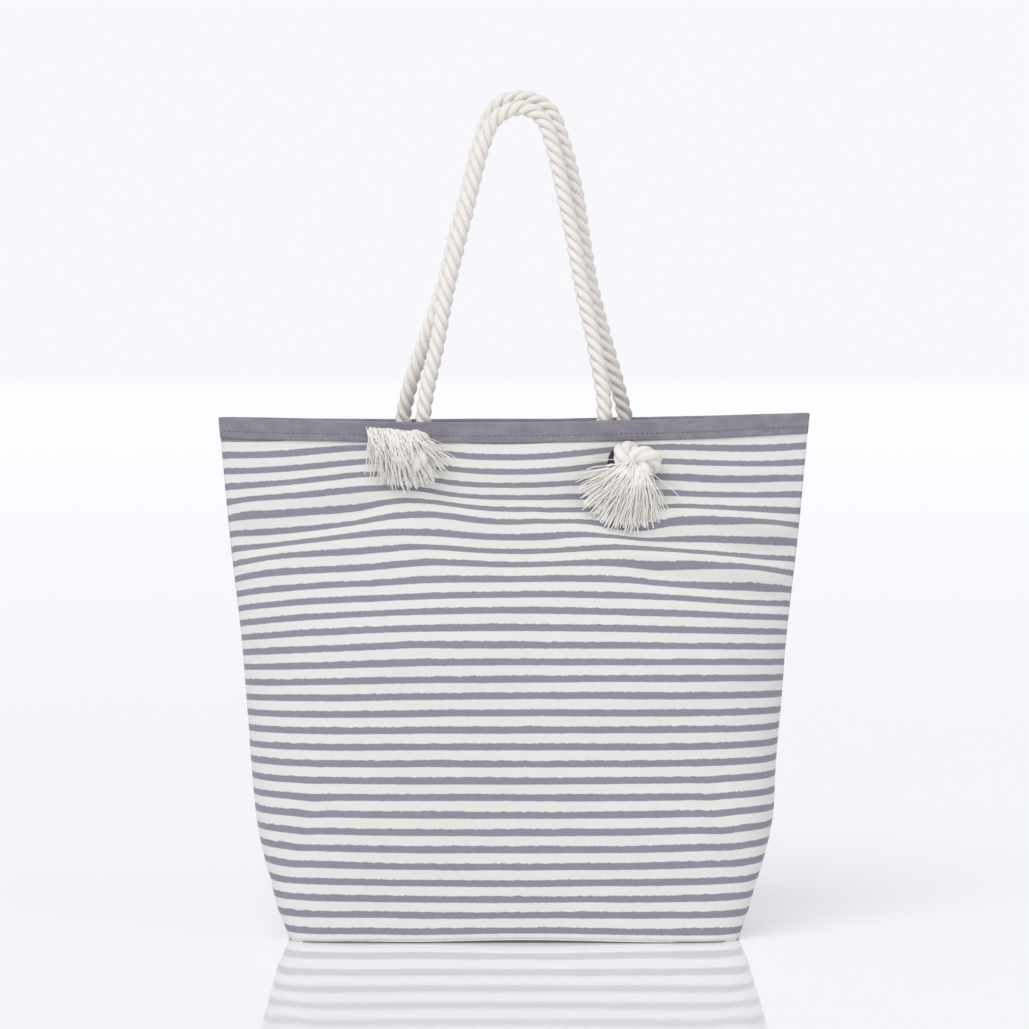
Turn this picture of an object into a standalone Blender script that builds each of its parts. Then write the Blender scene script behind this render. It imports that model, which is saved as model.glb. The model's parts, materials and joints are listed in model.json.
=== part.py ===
"""Striped canvas beach tote with two twisted rope handles.

The bag is two wall panels on a boxed base, lined, with a folded binding over the rim. Four rope
ends pass through metal eyelets, are knotted outside and frayed into tassels. Inside they run up to
the rim, where the two rope handles start. Metres, +Z up, the front faces -Y, origin under the middle
of the base.
"""
import math

import bmesh
import bpy
from mathutils import Matrix, Vector

# Overall sizes
RIM_WIDTH = 0.500          # flat width across the mouth, side seam to side seam
BASE_WIDTH = 0.380
BASE_DEPTH = 0.120
RIM_HEIGHT = 0.440         # top edge of the canvas at the side seams
RIM_DEPTH = 0.080          # how far the mouth stands open at its middle
RIM_DIP = 0.004            # the rim hangs this much lower at its middle
SIDE_FLARE = 0.58          # below 1 the sides flare out early and then run straight
BASE_SQUARENESS = 8.0      # exponent of the base outline: 2 is an ellipse, 8 a soft rectangle
RIM_EXPONENTS = (2.0, 1.0)  # across, front to back: the mouth is a lens with sharp side seams

# Cloth
CANVAS = 0.0010
LINING = 0.0007
BINDING = 0.0008
BINDING_DROP = 0.0156      # how far the binding reaches down each side of the rim
GAP = 0.0003               # clearance between neighbouring pieces
COLUMNS = 40               # around the whole wall
ROWS = 9

# Eyelets
EYELET_SPACING = 0.186     # between the two eyelets of one panel
EYELET_DROP = 0.036        # from the rim down to the eyelet's centre
EYELET_RIM = 0.0076        # width of the flange, from the bore to its edge
EYELET_METAL = 0.0008
EYELET_SEAT = 0.0006       # a flat flange on a gently curved wall
EYELET_SEGMENTS = 24

# Rope
ROPE = 0.0135              # diameter
ROPE_PLAY = 0.00065        # between the rope and an eyelet's bore
ROPE_SPACE = 0.00575       # from the wall's outer face to the rope's surface, behind an eyelet
BEND_START = 0.0032        # the rope runs straight this far in before it turns up
RIM_CLEARANCE = 0.0011     # between the binding and a rope that passes it
STRAIGHT_AT_RIM = 0.006
HANDLE_RISE = 0.262        # from the rim to the top of a handle's centre line
HANDLE_RISE_BACK = 0.2715
FRONT_LEGS = 0.152         # between the two legs of the front handle at the rim
BACK_LEGS = 0.188
HANDLE_GAP = 0.0010        # between the two handles where they lean together
KNOT = (0.044, 0.032, 0.026)    # width, height, depth
KNOT_SEGMENTS = 14
KNOT_RINGS = 9
TASSEL_LENGTH = 0.036
TASSEL_WIDTH = 0.070       # at its cut end
TASSEL_NECK = 0.034
TASSEL_DEPTH = 0.018

# A handle's line as shares of its leg spacing and of its rise, from the left foot to the right one
FRONT_LINE = (
    (-1.0, 0.0), (-1.0, 0.02), (-0.96, 0.10), (-0.85, 0.246), (-0.745, 0.412), (-0.61, 0.578),
    (-0.475, 0.736), (-0.36, 0.868), (-0.215, 0.962), (0.06, 1.0), (0.31, 0.966), (0.44, 0.868),
    (0.54, 0.736), (0.655, 0.578), (0.76, 0.412), (0.885, 0.246), (0.98, 0.10), (1.0, 0.02), (1.0, 0.0),
)
BACK_LINE = (
    (-1.0, 0.0), (-1.0, 0.02), (-0.93, 0.12), (-0.80, 0.25), (-0.64, 0.41), (-0.53, 0.57),
    (-0.41, 0.72), (-0.31, 0.86), (-0.18, 0.965), (0.04, 1.0), (0.31, 0.965), (0.44, 0.86),
    (0.55, 0.72), (0.62, 0.57), (0.70, 0.41), (0.82, 0.25), (0.925, 0.12), (1.0, 0.02), (1.0, 0.0),
)

UNDER_BINDING = 1 - BINDING_DROP / RIM_HEIGHT     # the binding's lower edge, as a share of the height
ROW_SHARES = [UNDER_BINDING * row / (ROWS - 1) for row in range(ROWS)] + [1.0]
EYELET_BORE = ROPE / 2 + ROPE_PLAY
EYELET_FLANGE = EYELET_BORE + EYELET_RIM
ROPE_INSET = ROPE / 2 + ROPE_SPACE          # depth of the rope's centre line behind an eyelet
ROPE_BEND = ROPE_INSET - BEND_START         # radius of the turn there
STACK = CANVAS + GAP + LINING               # outer face of the wall to its inner face
BOUND_OUT = GAP + BINDING                   # the binding stands this far outside the wall
BOUND_IN = STACK + GAP + BINDING            # and reaches this far inside
WALL_MIDDLE = (BOUND_IN - BOUND_OUT) / 2    # depth of the middle of the bound rim
RIM_ROPE_INSET = BOUND_IN + RIM_CLEARANCE + ROPE / 2

FRONT, BACK = -1, 1
SIDES = (("front", FRONT), ("back", BACK))
HANDS = (("left", -1), ("right", 1))


def start_empty():
    """Remove whatever the opened file holds."""
    for obj in list(bpy.data.objects):
        bpy.data.objects.remove(obj, do_unlink=True)


def make_material(name, colour, roughness, metallic=0.0):
    """A Principled material of one colour."""
    material = bpy.data.materials.new(name)
    material.use_nodes = True
    shader = material.node_tree.nodes["Principled BSDF"]
    shader.inputs["Base Color"].default_value = (*colour, 1.0)
    shader.inputs["Roughness"].default_value = roughness
    shader.inputs["Metallic"].default_value = metallic
    return material


def add_mesh(name, bm, material, matrix=Matrix.Identity(4)):
    """Turn a bmesh into a named object and give it its material."""
    bmesh.ops.recalc_face_normals(bm, faces=bm.faces)
    mesh = bpy.data.meshes.new(name)
    bm.to_mesh(mesh)
    bm.free()
    obj = bpy.data.objects.new(name, mesh)
    obj.matrix_world = matrix
    bpy.context.scene.collection.objects.link(obj)
    if material:
        mesh.materials.append(material)
    return obj


def lerp(low, high, share):
    return low + (high - low) * share


# The wall's shape

def half_width(share):
    """Half the bag's width at a share of its height."""
    return lerp(BASE_WIDTH, RIM_WIDTH, share ** SIDE_FLARE) / 2


def half_depth(share):
    return lerp(BASE_DEPTH, RIM_DEPTH, share) / 2


def exponents(share):
    """The outline goes from a soft rectangle at the base to a lens at the rim."""
    across = 1 / lerp(1 / BASE_SQUARENESS, 1 / RIM_EXPONENTS[0], share)
    along = 1 / lerp(1 / BASE_SQUARENESS, 1 / RIM_EXPONENTS[1], share)
    return across, along


def rim_height(x):
    """Top edge of the canvas, lowest in the middle of a panel."""
    return RIM_HEIGHT - RIM_DIP * (1 - (2 * x / RIM_WIDTH) ** 2)


def wall_depth(x, share):
    """How far the wall's outer face stands from the bag's middle plane."""
    across, along = exponents(share)
    return half_depth(share) * (1 - abs(x / half_width(share)) ** across) ** (1 / along)


def wall_point(side, x, z):
    return Vector((x, side * wall_depth(x, z / rim_height(x)), z))


def wall_frame(side, x, z):
    """Matrix at a point of the wall: X level, Y up along the wall, Z straight out of it."""
    step = 0.001
    middle = wall_point(side, x, z)
    level = wall_point(side, x + step, z) - wall_point(side, x - step, z)
    upward = wall_point(side, x, z + step) - wall_point(side, x, z - step)
    out = level.cross(upward).normalized() * -side
    level = upward.cross(out).normalized()
    upward = out.cross(level)
    matrix = Matrix((level, upward, out)).transposed().to_4x4()
    matrix.translation = middle
    return matrix


def outline(share, inset):
    """COLUMNS points around the bag at equal spacing, moved inwards by inset with mitred corners."""
    across, along = exponents(share)
    width, depth = half_width(share), half_depth(share)
    fine = 720
    ring = []
    for number in range(fine + 1):
        angle = math.pi + 2 * math.pi * number / fine
        cosine, sine = math.cos(angle), math.sin(angle)
        x = math.copysign(width * abs(cosine) ** (2 / across), cosine)
        y = math.copysign(depth * abs(sine) ** (2 / along), sine)
        ring.append(Vector((x, y)))
    halves = (ring[:fine // 2 + 1], ring[fine // 2:])
    points = [point for half in halves for point in equal_steps(half, COLUMNS // 2)]
    return [inset_corner(points, number, inset) for number in range(COLUMNS)]


def equal_steps(line, count):
    """The first count of count + 1 points spaced evenly along a line."""
    reach = [0.0]
    for start, end in zip(line, line[1:]):
        reach.append(reach[-1] + (end - start).length)
    points = []
    segment = 0
    for number in range(count):
        target = reach[-1] * number / count
        while reach[segment + 1] < target:
            segment += 1
        share = (target - reach[segment]) / (reach[segment + 1] - reach[segment])
        points.append(line[segment].lerp(line[segment + 1], share))
    return points


def inset_corner(points, number, inset):
    """One outline point moved inwards so that both of its edges move by inset."""
    here = points[number]
    before = (here - points[number - 1]).normalized()
    after = (points[(number + 1) % len(points)] - here).normalized()
    normal_before = Vector((-before.y, before.x))
    normal_after = Vector((-after.y, after.x))
    bisector = (normal_before + normal_after).normalized()
    return here + bisector * inset / bisector.dot(normal_after)


def ring_sheet(rows, place):
    """A sheet that runs right round the bag; place(column, row) gives each vertex its position."""
    bm = bmesh.new()
    bmesh.ops.create_grid(bm, x_segments=COLUMNS, y_segments=rows, size=0.5)
    for vert in bm.verts:
        column = round((vert.co.x + 0.5) * COLUMNS) % COLUMNS
        row = round((vert.co.y + 0.5) * rows)
        vert.co = place(column, row)
    bmesh.ops.remove_doubles(bm, verts=bm.verts, dist=GAP / 100)
    bmesh.ops.triangulate(bm, faces=bm.faces, quad_method="FIXED")
    return bm


def add_modifier(obj, kind, **settings):
    modifier = obj.modifiers.new(kind.title(), kind)
    for setting, value in settings.items():
        setattr(modifier, setting, value)
    return modifier


def add_cutter(name, bm, matrix=Matrix.Identity(4)):
    """A shape that only cuts others."""
    cutter = add_mesh(name, bm, None, matrix)
    cutter.hide_render = True
    cutter.display_type = "WIRE"
    return cutter


def half_space(side):
    """A block over the whole front or back half of the bag, up to the side seams."""
    reach = RIM_WIDTH + RIM_HEIGHT
    bm = bmesh.new()
    bmesh.ops.create_cube(bm, size=2 * reach)
    bmesh.ops.translate(bm, verts=bm.verts, vec=(0, side * (reach + GAP / 2), 0))
    return bm


def hole_cutter(radius):
    bm = bmesh.new()
    bmesh.ops.create_cone(
        bm, cap_ends=True, segments=EYELET_SEGMENTS, radius1=radius, radius2=radius, depth=8 * STACK)
    return bm


def add_wall(name, side, inset, thickness, low, material, holes):
    """One layer of one panel: a ring of cloth, cut to its half and pierced for the eyelets."""
    rings = [outline(share, inset) for share in ROW_SHARES]

    def place(column, row):
        point = rings[row][column]
        high = rim_height(point.x)
        return point.x, point.y, lerp(low, high, ROW_SHARES[row])

    wall = add_mesh(name, ring_sheet(ROWS, place), material)
    add_modifier(wall, "SOLIDIFY", thickness=thickness, offset=-1, use_even_offset=True)
    add_modifier(wall, "BOOLEAN", operation="INTERSECT", object=side)
    for hole in holes:
        add_modifier(wall, "BOOLEAN", operation="DIFFERENCE", object=hole)
    return wall


def add_base(name, inset, low, thickness, material):
    """A flat base panel with the wall's own outline."""
    bm = bmesh.new()
    verts = [bm.verts.new((point.x, point.y, low)) for point in outline(0, inset)]
    face = bm.faces.new(verts)
    top = bmesh.ops.extrude_face_region(bm, geom=[face])["geom"]
    lifted = [item for item in top if isinstance(item, bmesh.types.BMVert)]
    bmesh.ops.translate(bm, verts=lifted, vec=(0, 0, thickness))
    return add_mesh(name, bm, material)


def add_binding(name, side, material):
    """A strip folded over the rim: down the outside, round the top edge and down the inside."""
    outside = -(GAP + BINDING / 2)
    inside = STACK + GAP + BINDING / 2
    radius = (inside - outside) / 2
    fold = 4
    section = [(outside, -BINDING_DROP)]
    for number in range(fold + 1):
        angle = math.pi * number / fold
        section.append((WALL_MIDDLE - radius * math.cos(angle), radius * math.sin(angle)))
    section.append((inside + GAP, -BINDING_DROP))
    rings = [outline(UNDER_BINDING if rise < 0 else 1, depth) for depth, rise in section]

    def place(column, row):
        point = rings[row][column]
        high = rim_height(point.x)
        return point.x, point.y, high + section[row][1]

    strip = add_mesh(name, ring_sheet(len(section) - 1, place), material)
    add_modifier(strip, "SOLIDIFY", thickness=BINDING, offset=0, use_even_offset=True)
    add_modifier(strip, "BOOLEAN", operation="INTERSECT", object=side)
    return strip


def turned(profile):
    """Spin a closed outline of (radius, height) points round Z."""
    bm = bmesh.new()
    verts = [bm.verts.new((radius, 0, height)) for radius, height in profile]
    edges = [bm.edges.new((verts[i], verts[i - 1])) for i in range(len(verts))]
    bmesh.ops.spin(
        bm, geom=verts + edges, cent=(0, 0, 0), axis=(0, 0, 1), angle=2 * math.pi,
        steps=EYELET_SEGMENTS, use_merge=True)
    bmesh.ops.remove_doubles(bm, verts=bm.verts, dist=GAP / 100)
    return bm


def add_eyelet(name, matrix, material):
    """Flange outside, barrel through the cloth, its end rolled out over the washer."""
    face = EYELET_SEAT
    back = -(STACK + EYELET_SEAT + EYELET_METAL)
    barrel = EYELET_BORE + EYELET_METAL
    lip = barrel + 2 * EYELET_METAL
    dome = EYELET_METAL / 2
    profile = (
        (EYELET_BORE, back - GAP - EYELET_METAL), (lip, back - GAP - EYELET_METAL), (lip, back - GAP),
        (barrel, back - GAP), (barrel, face), (EYELET_FLANGE, face),
        (EYELET_FLANGE - dome, face + EYELET_METAL), (barrel + dome, face + EYELET_METAL + dome),
        (EYELET_BORE, face + EYELET_METAL),
    )
    eyelet = add_mesh(name, turned(profile), material, matrix)
    eyelet.data.shade_smooth()
    return eyelet


def add_washer(name, matrix, material):
    """The flat ring inside that the barrel is rolled over."""
    top = -(STACK + EYELET_SEAT)
    bore = EYELET_BORE + EYELET_METAL + GAP
    profile = (
        (bore, top - EYELET_METAL), (EYELET_FLANGE, top - EYELET_METAL), (EYELET_FLANGE, top), (bore, top),
    )
    return add_mesh(name, turned(profile), material, matrix)


# Rope

def add_tube(name, points, material):
    """A rope stretch: a round tube along a line of points."""
    curve = bpy.data.curves.new(name, "CURVE")
    curve.dimensions = "3D"
    curve.bevel_depth = ROPE / 2
    curve.bevel_resolution = 2
    curve.use_fill_caps = True
    spline = curve.splines.new("POLY")
    spline.points.add(len(points) - 1)
    for spot, point in zip(spline.points, points):
        spot.co = (*point, 1.0)
    curve.materials.append(material)
    tube = bpy.data.objects.new(name, curve)
    bpy.context.scene.collection.objects.link(tube)
    return tube


def round_corner(before, corner, after, radius, steps):
    """Points of the arc that rounds one corner of a line."""
    back, forward = (before - corner).normalized(), (after - corner).normalized()
    half = back.angle(forward) / 2
    centre = corner + (back + forward).normalized() * radius / math.sin(half)
    start = corner + back * radius / math.tan(half) - centre
    axis = back.cross(forward).normalized()
    turn = math.pi - 2 * half
    return [centre + Matrix.Rotation(-turn * number / steps, 3, axis) @ start for number in range(steps + 1)]


def smooth_line(points, per_stretch):
    """A Catmull-Rom curve through the points."""
    ends = [points[0] * 2 - points[1], *points, points[-1] * 2 - points[-2]]
    line = []
    for number in range(1, len(ends) - 2):
        a, b, c, d = ends[number - 1:number + 3]
        for part in range(per_stretch):
            t = part / per_stretch
            line.append(0.5 * (2 * b + (c - a) * t + (2 * a - 5 * b + 4 * c - d) * t ** 2
                               + (3 * b - a - 3 * c + d) * t ** 3))
    return [*line, points[-1]]


def pivot_point(side, legs):
    """Middle of the bound rim beside a handle's leg: the handle swings over the rim round here."""
    x = legs / 2
    return Vector((0, side * (wall_depth(x, 1) - WALL_MIDDLE), rim_height(x)))


def leg_depth(side, legs):
    return side * (wall_depth(legs / 2, 1) - RIM_ROPE_INSET)


def add_rope_end(name, side, hand, legs, eyelet, material):
    """From the knot in through the eyelet, then up behind the wall to the rim."""
    out = eyelet.col[2].to_3d()
    middle = eyelet.translation
    start = middle + out * (EYELET_SEAT + EYELET_METAL)
    corner = middle - out * ROPE_INSET
    top = Vector((hand * legs / 2, leg_depth(side, legs), rim_height(legs / 2) - GAP / 2))
    bend = top - Vector((0, 0, STRAIGHT_AT_RIM))
    line = [start]
    line += round_corner(start, corner, bend, ROPE_BEND, 6)
    line += round_corner(corner, bend, top, ROPE_BEND, 3)
    line.append(top)
    return add_tube(name, line, material)


def add_handle(name, side, legs, rise, line, material):
    """A rope loop that stands on the rim and leans towards the other handle."""
    foot = leg_depth(side, legs)
    head = side * (ROPE + HANDLE_GAP) / 2
    low = rim_height(legs / 2) + GAP / 2
    route = []
    for across, up in line:
        lean = max(0.0, up - line[1][1]) / (1 - line[1][1])
        route.append(Vector((across * legs / 2, lerp(foot, head, lean), low + up * rise)))
    return add_tube(name, [route[0], *smooth_line(route[1:-1], 2), route[-1]], material)


def add_knot(name, eyelet, material):
    """A rounded lump that can't pass through the eyelet."""
    width, height, depth = KNOT
    stand = EYELET_SEAT + 1.5 * EYELET_METAL + GAP + depth / 2
    bm = bmesh.new()
    bmesh.ops.create_uvsphere(bm, u_segments=KNOT_SEGMENTS, v_segments=KNOT_RINGS, radius=0.5)
    bmesh.ops.scale(bm, verts=bm.verts, vec=(width, height, depth))
    bmesh.ops.translate(bm, verts=bm.verts, vec=(0, 0, stand))
    return add_mesh(name, bm, material, eyelet)


def add_tassel(name, eyelet, material):
    """The frayed end below the knot, fanned out against the wall."""
    top = KNOT[1] / 2 + GAP
    turn = Matrix.Rotation(-math.pi / 2, 3, "X")
    bm = bmesh.new()
    bmesh.ops.create_cone(
        bm, cap_ends=True, segments=KNOT_SEGMENTS, radius1=TASSEL_NECK / 2, radius2=TASSEL_WIDTH / 2,
        depth=TASSEL_LENGTH)
    bmesh.ops.rotate(bm, verts=bm.verts, matrix=turn.inverted())
    for vert in bm.verts:
        vert.co.z *= TASSEL_DEPTH / 2 / Vector((vert.co.x, vert.co.z)).length
    stand = BOUND_OUT + GAP + TASSEL_DEPTH / 2
    bmesh.ops.translate(bm, verts=bm.verts, vec=(0, -top - TASSEL_LENGTH / 2, stand))
    return add_mesh(name, bm, material, eyelet)


def main():
    start_empty()
    canvas = make_material("striped_canvas", (0.60, 0.58, 0.56), 0.9)
    cotton = make_material("lining_cotton", (0.78, 0.75, 0.68), 0.9)
    grey = make_material("binding_canvas", (0.27, 0.25, 0.30), 0.9)
    rope = make_material("cotton_rope", (0.84, 0.79, 0.71), 0.9)
    metal = make_material("gunmetal", (0.10, 0.10, 0.11), 0.35, 1.0)

    add_base("outer_base", 0, 0, CANVAS, canvas)
    add_base("lining_base", CANVAS + GAP, CANVAS + GAP, LINING, cotton)
    for side_name, side in SIDES:
        half = add_cutter(f"{side_name}_half", half_space(side))
        legs = FRONT_LEGS if side == FRONT else BACK_LEGS
        holes = []
        for hand_name, hand in HANDS:
            place = f"{side_name}_{hand_name}"
            x = hand * EYELET_SPACING / 2
            seat = wall_frame(side, x, rim_height(x) - EYELET_DROP)
            radius = EYELET_BORE + EYELET_METAL + GAP
            holes.append(add_cutter(f"{place}_hole", hole_cutter(radius), seat))
            add_eyelet(f"{place}_eyelet", seat, metal)
            add_washer(f"{place}_washer", seat, metal)
            add_rope_end(f"{place}_rope_end", side, hand, legs, seat, rope)
            add_knot(f"{place}_knot", seat, rope)
            add_tassel(f"{place}_tassel", seat, rope)
        add_wall(f"outer_{side_name}_panel", half, 0, CANVAS, CANVAS + GAP, canvas, holes)
        low = CANVAS + GAP + LINING + GAP
        add_wall(f"lining_{side_name}_panel", half, CANVAS + GAP, LINING, low, cotton, holes)
        add_binding(f"binding_{side_name}", half, grey)
    add_handle("front_rope_handle", FRONT, FRONT_LEGS, HANDLE_RISE, FRONT_LINE, rope)
    add_handle("back_rope_handle", BACK, BACK_LEGS, HANDLE_RISE_BACK, BACK_LINE, rope)


main()
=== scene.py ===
# %% [markdown]
# # A striped beach bag, from its frame to its finish
# The bag is printed cotton canvas, sewn into two walls on a boxed base, bound round the rim with grey
# cloth and carried by two twisted cotton ropes. The ropes pass through eyelets, are knotted outside
# and frayed into tassels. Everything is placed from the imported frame, so that is loaded first.

import json
import math
import random

import bmesh
import bpy
import numpy as np
from mathutils import Matrix, Vector, noise


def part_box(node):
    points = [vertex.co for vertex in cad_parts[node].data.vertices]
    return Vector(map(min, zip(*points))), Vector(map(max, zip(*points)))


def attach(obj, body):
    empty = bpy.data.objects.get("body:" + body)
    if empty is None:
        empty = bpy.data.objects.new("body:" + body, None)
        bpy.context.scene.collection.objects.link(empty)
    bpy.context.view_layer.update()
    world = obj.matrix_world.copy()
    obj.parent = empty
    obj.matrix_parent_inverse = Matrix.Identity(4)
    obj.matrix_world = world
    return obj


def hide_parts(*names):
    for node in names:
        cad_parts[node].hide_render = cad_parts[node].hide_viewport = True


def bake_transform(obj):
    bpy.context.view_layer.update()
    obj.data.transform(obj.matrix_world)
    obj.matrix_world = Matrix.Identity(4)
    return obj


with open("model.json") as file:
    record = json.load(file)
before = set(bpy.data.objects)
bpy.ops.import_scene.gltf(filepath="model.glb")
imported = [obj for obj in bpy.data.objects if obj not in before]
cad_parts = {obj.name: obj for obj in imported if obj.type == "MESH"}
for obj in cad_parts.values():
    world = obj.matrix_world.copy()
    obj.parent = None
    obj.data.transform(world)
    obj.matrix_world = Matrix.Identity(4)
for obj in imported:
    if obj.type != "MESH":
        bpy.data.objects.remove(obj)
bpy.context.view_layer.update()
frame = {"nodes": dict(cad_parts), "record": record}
MM = 0.001

# %% [markdown]
# ## Where things are
# Some sizes below are read from nodes of the frame: the height of the rim from the lining panel, the
# canvas's thickness from the outer base, and further on the eyelets from their own boxes. The rest, the
# rope's thickness among them, are given as numbers, so only the sizes read from the frame follow it.

# %% Sizes from the frame
panel_low, panel_high = (Vector(corner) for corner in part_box("outer_front_panel"))
base_low, base_high = (Vector(corner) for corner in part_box("outer_base"))
binding_low, binding_high = (Vector(corner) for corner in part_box("binding_front"))
lining_low, lining_high = (Vector(corner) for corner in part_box("lining_front_panel"))
handle_low, handle_high = (Vector(corner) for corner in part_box("front_rope_handle"))
RIM_HEIGHT = round(lining_high.z, 3)
RIM_WIDTH = 0.500
RIM_DEPTH = 0.080
RIM_DIP = 4 * MM
BINDING_DROP = 15.6 * MM
CANVAS = base_high.z - base_low.z
LINING = 0.7 * MM
BINDING = 0.8 * MM
GAP = 0.3 * MM
STACK = CANVAS + GAP + LINING
ROPE = 13.5 * MM
print("rim", RIM_HEIGHT, "m up, canvas", round(CANVAS / MM, 2), "mm thick")

# %% [markdown]
# ## The camera
# A long lens from the front, a little above the rim, as a catalogue shows a bag: the back rim just
# clears the front one. It is aimed down a few degrees, and needs no shift.

# %% Camera
CAMERA_DISTANCE = 2.9
CAMERA_HEIGHT = 0.490
SEEN_WIDTH = 0.872
AIM_HEIGHT = 0.3557
camera_data = bpy.data.cameras.new("front_camera")
camera_data.sensor_width = 36.0
camera_data.lens = camera_data.sensor_width * CAMERA_DISTANCE / SEEN_WIDTH
camera = bpy.data.objects.new("front_camera", camera_data)
bpy.context.scene.collection.objects.link(camera)
camera.location = (0.0004, -CAMERA_DISTANCE, CAMERA_HEIGHT)
aim = Vector((0.0004, 0, AIM_HEIGHT)) - camera.location
camera.rotation_euler = aim.to_track_quat("-Z", "Y").to_euler()
bpy.context.scene.camera = camera
print("lens", round(camera_data.lens, 1), "mm")

# %% [markdown]
# ## Helpers for materials
# A colour is written as the sRGB hex value that a colour card would give, and turned to the linear
# value that a shader needs. One function adds a node: what is given as a socket is linked, and
# anything else is set on the node's own socket.

# %% Colour and node helpers


def linear(hex_colour):
    """Linear RGBA of an sRGB hex colour."""
    channels = [int(hex_colour[start:start + 2], 16) / 255 for start in (1, 3, 5)]
    return [c / 12.92 if c <= 0.04045 else ((c + 0.055) / 1.055) ** 2.4 for c in channels] + [1.0]


def add_node(tree, kind, sockets=None, **settings):
    """Add a node to a tree, set its settings, and link or set its sockets."""
    node = tree.nodes.new(kind)
    for name, value in settings.items():
        setattr(node, name, value)
    for key, value in (sockets or {}).items():
        if isinstance(value, bpy.types.NodeSocket):
            tree.links.new(value, node.inputs[key])
        else:
            node.inputs[key].default_value = value
    return node


def start_material(name, **sockets):
    """A Principled material with values set on the shader's own sockets."""
    material = bpy.data.materials.new(name)
    material.use_nodes = True
    shader = material.node_tree.nodes["Principled BSDF"]
    for key, value in sockets.items():
        shader.inputs[key.replace("_", " ").title().replace("Ior", "IOR")].default_value = value
    return material, material.node_tree, shader


# %% [markdown]
# ## The printed canvas
# Plain cotton canvas is a matt, slightly fuzzy cloth, so roughness is near 1 with a little sheen. The
# stripes are printed with the look of a dry brush: each stripe's edges are ragged, its upper edge
# most of all, and the ink is thin in places. All of it follows the cloth's own UV map, measured in
# metres of cloth, so the stripes bend wherever the cloth bends. Thread spacing on such a canvas is
# about 0.6 mm, too fine to show, so the twill is drawn at 1.3 mm.

# %% Printed canvas
STRIPE_PITCH = 13.5 * MM
STRIPE_HALF = 2.85 * MM
TWILL = 1.3 * MM


def cloth_coordinates(tree):
    """Sockets for the distance along the cloth and up the cloth, in metres."""
    uv = add_node(tree, "ShaderNodeUVMap", uv_map="cloth")
    split = add_node(tree, "ShaderNodeSeparateXYZ", {"Vector": uv.outputs["UV"]})
    return uv.outputs["UV"], split.outputs["X"], split.outputs["Y"]


def math_node(tree, operation, *values, clamp=False):
    """A Math node; its result can be fed straight into the next one."""
    node = add_node(tree, "ShaderNodeMath", dict(enumerate(values)), operation=operation, use_clamp=clamp)
    return node.outputs[0]


def stretched_noise(tree, uv, along, up, detail=3.0, shift=0.0):
    """Noise with its own scale along the cloth and up the cloth, in cycles per metre."""
    mapping = add_node(tree, "ShaderNodeMapping", {"Vector": uv, "Scale": (along, up, 1), "Location": (shift, shift, shift)})
    result = add_node(
        tree, "ShaderNodeTexNoise",
        {"Vector": mapping.outputs[0], "Scale": 1.0, "Detail": detail, "Roughness": 0.6})
    return result.outputs["Fac"]


def add_cloth_bump(tree, shader, uv, u, v, thread, strength):
    """Twill lines with slubs, as height for the shader's normal."""
    diagonal = math_node(tree, "MULTIPLY", math_node(tree, "ADD", u, v), 2 * math.pi / thread)
    other = math_node(tree, "MULTIPLY", math_node(tree, "SUBTRACT", v, u), 2 * math.pi / thread)
    twill = math_node(tree, "MULTIPLY", math_node(tree, "SINE", diagonal), 0.35)
    cross = math_node(tree, "MULTIPLY", math_node(tree, "SINE", other), 0.15)
    slubs = stretched_noise(tree, uv, 250, 900)
    height = math_node(tree, "ADD", math_node(tree, "ADD", twill, cross), slubs)
    bump = add_node(tree, "ShaderNodeBump", {"Height": height, "Strength": strength, "Distance": 0.0004})
    tree.links.new(bump.outputs[0], shader.inputs["Normal"])
    return height


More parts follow.
